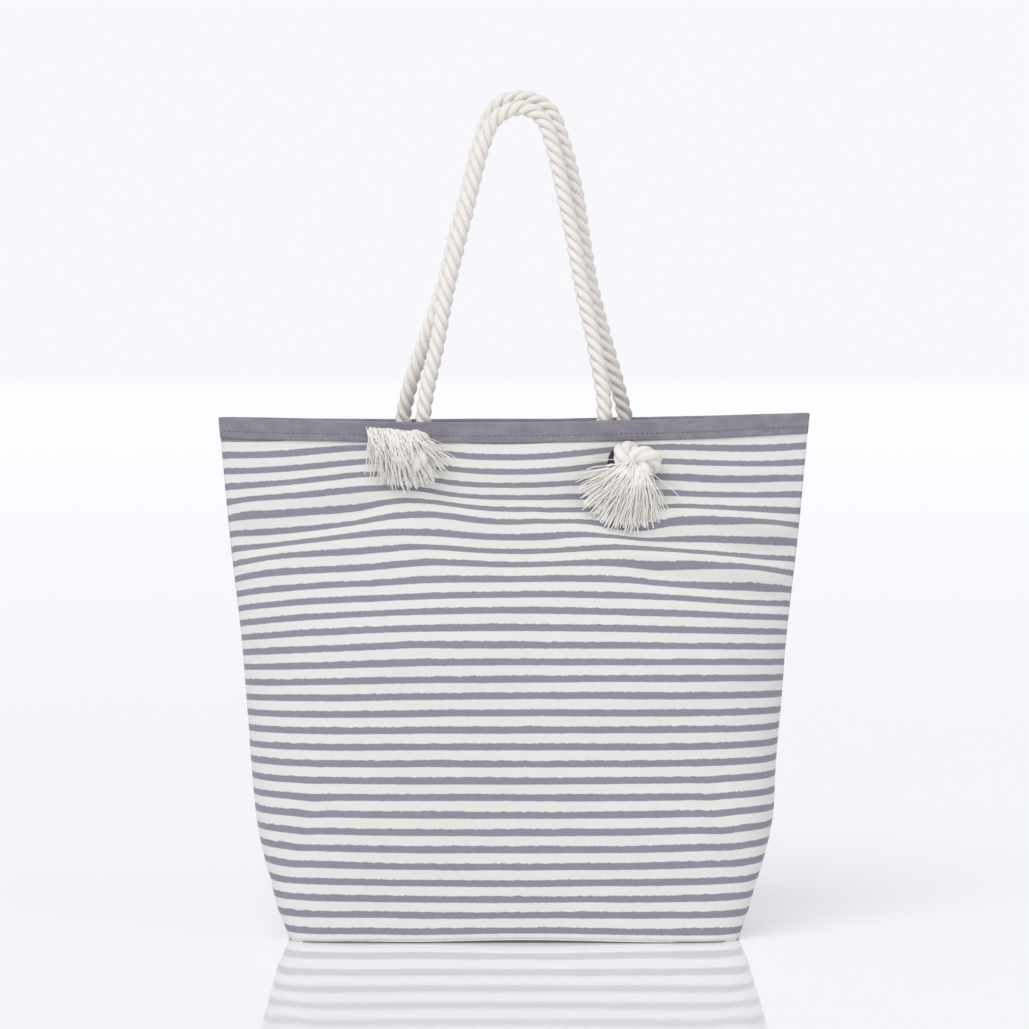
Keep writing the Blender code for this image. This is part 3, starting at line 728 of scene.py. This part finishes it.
def rope_tube(bm, path, radius, lay, strands=3, sides=54, sink=0.62, ribs=7, closed=False):
    """A twisted rope along a path: rings of a lobed section, bridged in order. Adds the groove attribute."""
    groove = bm.verts.layers.float.get("groove") or bm.verts.layers.float.new("groove")
    tangents = np.gradient(path, axis=0)
    tangents /= np.linalg.norm(tangents, axis=1, keepdims=True)
    step = np.linalg.norm(np.diff(path, axis=0), axis=1).mean()
    normal = Vector(tangents[0]).orthogonal().normalized()
    rings = []
    for number, (place, tangent) in enumerate(zip(path, tangents)):
        tangent = Vector(tangent)
        normal = (normal - tangent * normal.dot(tangent)).normalized()
        second = tangent.cross(normal)
        twist = -2 * math.pi * number * step / lay
        ring = []
        for side in range(sides):
            angle = 2 * math.pi * side / sides
            reach, depth = strand_radius(angle, radius, strands, sink)
            reach += 0.14 * MM * math.cos(angle * strands * ribs) * (1 - depth)
            direction = normal * math.cos(angle + twist) + second * math.sin(angle + twist)
            vert = bm.verts.new(Vector(place) + direction * reach)
            vert[groove] = depth
            ring.append(vert)
        rings.append(ring)
    for before, after in zip(rings, rings[1:]):
        for side in range(sides):
            bm.faces.new((before[side - 1], before[side], after[side], after[side - 1]))
    if not closed:
        bm.faces.new(rings[0][::-1])
        bm.faces.new(rings[-1])


# %% [markdown]
# ## The two handles
# Each handle is one rope: from its left knot in through the eyelet, up behind the wall, over the
# handle and down to the right knot. The path's points are the ones that the frame's solids follow.

# %% Handles
FRONT_LINE = (
    (-1.0, 0.02), (-0.96, 0.10), (-0.85, 0.246), (-0.745, 0.412), (-0.61, 0.578), (-0.475, 0.736),
    (-0.36, 0.868), (-0.215, 0.962), (0.06, 1.0), (0.31, 0.966), (0.44, 0.868), (0.54, 0.736),
    (0.655, 0.578), (0.76, 0.412), (0.885, 0.246), (0.98, 0.10), (1.0, 0.02),
)
BACK_LINE = (
    (-1.0, 0.02), (-0.93, 0.12), (-0.80, 0.25), (-0.64, 0.41), (-0.53, 0.57), (-0.41, 0.72),
    (-0.31, 0.86), (-0.18, 0.965), (0.04, 1.0), (0.31, 0.965), (0.44, 0.86), (0.55, 0.72),
    (0.62, 0.57), (0.70, 0.41), (0.82, 0.25), (0.925, 0.12), (1.0, 0.02),
)
FRONT_LEGS, BACK_LEGS = 0.152, 0.188
HANDLE_GAP = 1.0 * MM
pivots = {joint["child"]: Vector(joint["pos_m"]) for joint in frame["record"]["behaviour"]["joints"]}


def handle_path(side_name, side, legs, line):
    """Route points of a whole rope, from one knot to the other."""
    node_low, node_high = (Vector(corner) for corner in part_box(f"{side_name}_rope_handle"))
    rise = node_high.z - ROPE / 2 - node_low.z
    end_low, end_high = (Vector(corner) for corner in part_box(f"{side_name}_right_rope_end"))
    outer_y = end_low.y if side < 0 else end_high.y
    foot_y = pivots[f"{side_name}_handle"].y - side * (STACK / 2 + GAP + BINDING + 1.1 * MM + ROPE / 2)
    head_y = side * (ROPE + HANDLE_GAP) / 2
    inner_y = outer_y - side * 13.9 * MM
    legs_up = []
    for hand in (-1, 1):
        eye = Vector((hand * EYELET_X, outer_y, EYELET_Z))
        foot = Vector((hand * legs / 2, foot_y, node_low.z))
        turn = Vector((eye.x, inner_y, EYELET_Z))
        legs_up.append([
            eye, eye.lerp(turn, 0.40), turn + (eye - turn) * 0.22 + Vector((0, 0, 2.2 * MM)),
            turn + Vector((0, 0, 9.0 * MM)), turn.lerp(foot, 0.62), foot - Vector((0, 0, 4 * MM))])
    middle = []
    for across, up in line:
        lean = (up - line[0][1]) / (1 - line[0][1])
        middle.append(Vector((across * legs / 2, foot_y + (head_y - foot_y) * lean, node_low.z + up * rise)))
    return legs_up[0] + middle + legs_up[1][::-1]


def make_handle(side_name, side, legs, line):
    route = handle_path(side_name, side, legs, line)
    path, length = smooth_path(route, 1.25 * MM)
    bm = bmesh.new()
    rope_tube(bm, path, ROPE / 2, LAY)
    rope = finish_piece(
        f"{side_name}_rope", bm, rope_cotton, None,
        (f"{side_name}_rope_handle", f"{side_name}_left_rope_end", f"{side_name}_right_rope_end"))
    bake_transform(rope)
    print(side_name, "rope", round(length, 3), "m from knot to knot")
    return rope


make_handle("front", -1, FRONT_LEGS, FRONT_LINE)
make_handle("back", 1, BACK_LEGS, BACK_LINE)

# %% [markdown]
# ## Knots and tassels
# Outside each eyelet the rope is tied in an overhand knot, whose line in space is a trefoil: three
# lobes, each passing over the next. Past the knot the rope is unlaid into its yarns, which spread
# into a fan over the wall. Each yarn is a thin tube with its own length, direction and curl, drawn
# from a seeded random so that the bag is the same each time.

# %% Knots and tassels


def eyelet_frame(side_name, side, hand_name, hand):
    """Matrix at an eyelet: X level, Y up along the wall, Z out of it."""
    low, high = (Vector(corner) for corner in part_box(f"{side_name}_{hand_name}_knot"))
    middle = (low + high) / 2
    out = Vector((hand * 0.119, side, 0.062)).normalized()
    level = Vector((0, 0, 1)).cross(out).normalized()
    up = out.cross(level)
    matrix = Matrix((level, up, out)).transposed().to_4x4()
    matrix.translation = middle
    return matrix


def make_knot(name, matrix, tilt, size, replaced):
    """An overhand knot pulled tight against the eyelet."""
    turns = np.linspace(0, 2 * math.pi, 121)
    loop = np.stack([
        (np.sin(turns) + 2 * np.sin(2 * turns)) * 4.6 * MM,
        (np.cos(turns) - 2 * np.cos(2 * turns)) * 4.0 * MM,
        -np.sin(3 * turns) * 4.2 * MM], axis=-1)
    turn = Matrix.Rotation(tilt, 4, "Z")
    path = np.array([matrix @ turn @ (Vector(point) * size) for point in loop])
    bm = bmesh.new()
    rope_tube(bm, path, 6.0 * MM * size, 45 * MM, sides=48, sink=0.42, ribs=6)
    return finish_piece(name, bm, rope_cotton, "bag", (replaced,))


def add_yarn(curve, points, radius, generator):
    spline = curve.splines.new("POLY")
    spline.points.add(len(points) - 1)
    for number, (spot, point) in enumerate(zip(spline.points, points)):
        spot.co = (*point, 1.0)
        share = number / (len(points) - 1)
        spot.radius = radius * (1.05 - 0.25 * share) * generator.uniform(0.85, 1.15)


def yarn_points(matrix, end, generator):
    """One yarn: it leaves the rope's end, arches over the knot, falls and fans out, with a crimp."""
    share = generator.triangular(0, 1, 0.5)
    deep = generator.uniform(0, 1)
    root = Vector((end["from"][0] + (end["to"][0] - end["from"][0]) * share,
                   end["from"][1] + (end["to"][1] - end["from"][1]) * share,
                   end["out"] - 12 * deep)) * MM
    root += Vector((generator.uniform(-2, 2), generator.uniform(-3, 3), 0)) * MM
    aim = math.radians(end["fan"][0] + (end["fan"][1] - end["fan"][0]) * share + generator.gauss(0, 17))
    length = end["reach"] * generator.uniform(0.62, 1.0) * (1 - 0.22 * abs(2 * share - 1))
    curl, phase, waves = generator.uniform(0.3, 1.0) * MM, generator.uniform(0, 6.28), generator.uniform(9, 16)
    points = []
    for step in range(15):
        t = step / 14
        fall = Vector((math.sin(aim) * t, -math.cos(aim) * t - 0.12 * t * t, 0)) * length
        lift = (4.5 * math.sin(math.pi * min(1, 1.15 * t)) * (1 - deep) - (end["out"] + 9 - 12 * deep) * t ** 1.6) * MM
        crimp = Vector((math.sin(phase + waves * t), 0.3 * math.cos(phase + waves * t), math.cos(phase + 0.8 * waves * t)))
        point = root + fall + Vector((0, 0, lift)) + crimp * curl * min(1, 3 * t)
        point.z = max(point.z, (-10.5 + 2.2 * (1 - deep)) * MM)
        points.append(matrix @ point)
    return points


def make_tassel(name, matrix, end, seed, replaced):
    """The cut yarn past a knot."""
    generator = random.Random(seed)
    curve = bpy.data.curves.new(name, "CURVE")
    curve.dimensions = "3D"
    curve.bevel_depth = 1.0
    curve.bevel_resolution = 1
    curve.use_fill_caps = True
    for number in range(end["yarns"]):
        radius = generator.choice((0.35, 0.45, 0.55, 0.70)) * MM
        add_yarn(curve, yarn_points(matrix, end, generator), radius, generator)
    holder = bpy.data.objects.new(name, curve)
    bpy.context.scene.collection.objects.link(holder)
    bpy.context.view_layer.update()
    mesh = bpy.data.meshes.new_from_object(holder.evaluated_get(bpy.context.evaluated_depsgraph_get()))
    bpy.data.objects.remove(holder)
    bm = bmesh.new()
    bm.from_mesh(mesh)
    return finish_piece(name, bm, yarn_cotton, "bag", (replaced,))


# Each rope end, in millimetres on the wall from the eyelet's middle: where the knot sits and how it is
# turned, the line that the yarn leaves from, how far out, the fan's two directions in degrees from
# straight down, its reach in metres and the number of yarns
ENDS = {
    "front_left": {"knot": (9, 10), "tilt": 0.5, "size": 1.0, "from": (-29, 27), "to": (20, 22), "out": 14,
                   "fan": (16, 34), "reach": 0.044, "yarns": 620},
    "front_right": {"knot": (7, -1), "tilt": -0.3, "size": 1.18, "from": (-7, -1), "to": (16, -9), "out": 12,
                    "fan": (-70, 26), "reach": 0.049, "yarns": 560},
    "back_left": {"knot": (4, 2), "tilt": 0.2, "size": 1.1, "from": (-8, -4), "to": (12, -4), "out": 10,
                  "fan": (-48, 40), "reach": 0.046, "yarns": 480},
    "back_right": {"knot": (-5, 3), "tilt": -0.6, "size": 1.1, "from": (-14, -2), "to": (7, -5), "out": 10,
                   "fan": (-40, 52), "reach": 0.046, "yarns": 480},
}
for side_name, side in SIDES:
    for hand_name, hand in (("left", -1), ("right", 1)):
        place = f"{side_name}_{hand_name}"
        end = ENDS[place]
        matrix = eyelet_frame(side_name, side, hand_name, hand)
        across, up = end["knot"]
        make_knot(f"{place}_overhand_knot", matrix @ Matrix.Translation((across * MM, up * MM, 0)), end["tilt"],
                  end["size"], f"{place}_knot")
        make_tassel(f"{place}_yarn_tassel", matrix, end, 11 + len(place) + hand, f"{place}_tassel")
print("four knots, four tassels")

# %% [markdown]
# ## Floor and light
# A glossy pale floor gives the soft mirror image below the bag. The light is plain: a pale world all
# round, a large soft lamp from the upper left and a weaker one from the right, at a level where a
# colour renders about as it is written.

# %% Floor, lamps and world
bm = bmesh.new()
bmesh.ops.create_grid(bm, x_segments=2, y_segments=2, size=60.0)
floor_mesh = bpy.data.meshes.new("floor")
bm.to_mesh(floor_mesh)
bm.free()
floor = bpy.data.objects.new("floor", floor_mesh)
bpy.context.scene.collection.objects.link(floor)
floor_mesh.transform(Matrix.Translation((0, 0, -0.3 * MM)))
floor_material, _, _ = start_material(
    "pale_gloss_board", base_color=linear("#FAFAFC"), roughness=0.05, ior=1.85, emission_color=linear("#FAFAFF"),
    emission_strength=0.045)
floor_mesh.materials.append(floor_material)

world = bpy.data.worlds.new("studio")
bpy.context.scene.world = world
world.use_nodes = True
world_tree = world.node_tree
background = world_tree.nodes["Background"]
background.inputs["Color"].default_value = linear("#F8F9FD")
background.inputs["Strength"].default_value = 0.53
seen = add_node(world_tree, "ShaderNodeBackground", {"Color": linear("#F8F8FC"), "Strength": 1.0})
rays = add_node(world_tree, "ShaderNodeLightPath")
seen_rays = add_node(world_tree, "ShaderNodeMath", {
    0: rays.outputs["Is Camera Ray"], 1: rays.outputs["Is Glossy Ray"]}, operation="MAXIMUM")
mixed = add_node(world_tree, "ShaderNodeMixShader", {
    0: seen_rays.outputs[0], 1: background.outputs[0], 2: seen.outputs[0]})
world_tree.links.new(mixed.outputs[0], world_tree.nodes["World Output"].inputs["Surface"])


def add_lamp(name, place, target, size, power):
    data = bpy.data.lights.new(name, "AREA")
    data.shape = "RECTANGLE"
    data.size, data.size_y = size
    data.energy = power
    lamp = bpy.data.objects.new(name, data)
    lamp.location = place
    lamp.rotation_euler = (Vector(target) - Vector(place)).to_track_quat("-Z", "Y").to_euler()
    bpy.context.scene.collection.objects.link(lamp)


sun_data = bpy.data.lights.new("sky_panel", "SUN")
sun_data.energy = 1.4
sun_data.angle = math.radians(45)
sun = bpy.data.objects.new("sky_panel", sun_data)
sun.rotation_euler = Vector((0.9, 1.7, -2.1)).to_track_quat("-Z", "Y").to_euler()
bpy.context.scene.collection.objects.link(sun)
add_lamp("fill_lamp", (2.2, -1.6, 1.2), (0, 0, 0.25), (1.6, 1.6), 7)
bpy.context.scene.view_settings.view_transform = "Standard"
